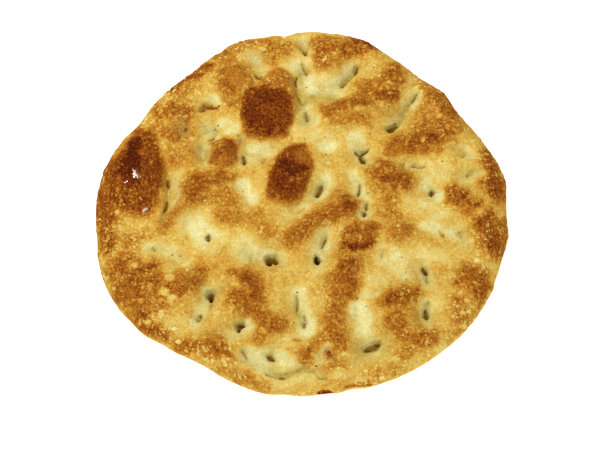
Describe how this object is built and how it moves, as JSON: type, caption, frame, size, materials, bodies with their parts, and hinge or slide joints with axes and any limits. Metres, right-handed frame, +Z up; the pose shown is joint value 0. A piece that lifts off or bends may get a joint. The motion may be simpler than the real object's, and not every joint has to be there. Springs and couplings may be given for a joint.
{
  "type": "pinsa flatbread",
  "caption": "Round baked pinsa flatbread with a rounded edge, fingertip dimples, gas bubbles and a blistered browned crust, eaten plain or topped.",
  "frame": {"origin": "on the table under the middle of the bread's outline", "axes": "+Z up out of the dimpled top, +X along the widest span, -Y towards the edge that faces the viewer"},
  "size_m": [0.26, 0.257, 0.019],
  "materials": {
    "crust": "baked dough, slightly oily"
  },
  "bodies": {
    "root": {"pinsa": "crust"}
  },
  "joints": []
}
